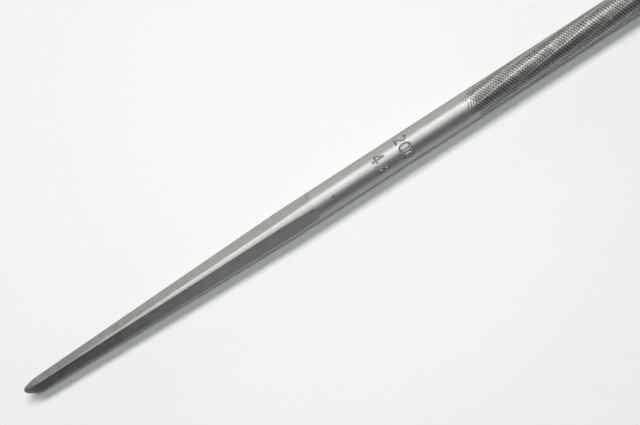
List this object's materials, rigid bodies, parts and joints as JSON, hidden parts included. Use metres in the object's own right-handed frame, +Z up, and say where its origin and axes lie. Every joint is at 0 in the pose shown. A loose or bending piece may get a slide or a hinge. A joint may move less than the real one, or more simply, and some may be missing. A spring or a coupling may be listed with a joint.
{
  "type": "chainsaw file",
  "caption": "Round file for sharpening saw chain: tapered square tang, plain round shank, spiral double-cut teeth and a blunt chamfered end, without a handle.",
  "frame": {"origin": "under the middle of the bar, on the surface that the file lies on", "axes": "+X along the bar from the tang towards the point, +Z up from the surface that it lies on"},
  "size_m": [0.2534, 0.0048, 0.0048],
  "materials": {
    "tang_steel": "ground steel, dull, darker towards the tip",
    "shank_steel": "fine ground steel, satin",
    "cut_steel": "chiselled hardened steel, teeth with bright crests and dark roots",
    "point_steel": "cropped and chamfered steel"
  },
  "bodies": {
    "root": {"tang": "tang_steel", "shank": "shank_steel", "cut_body_heel_half": "cut_steel", "cut_body_point_half": "cut_steel", "point": "point_steel"}
  },
  "joints": []
}
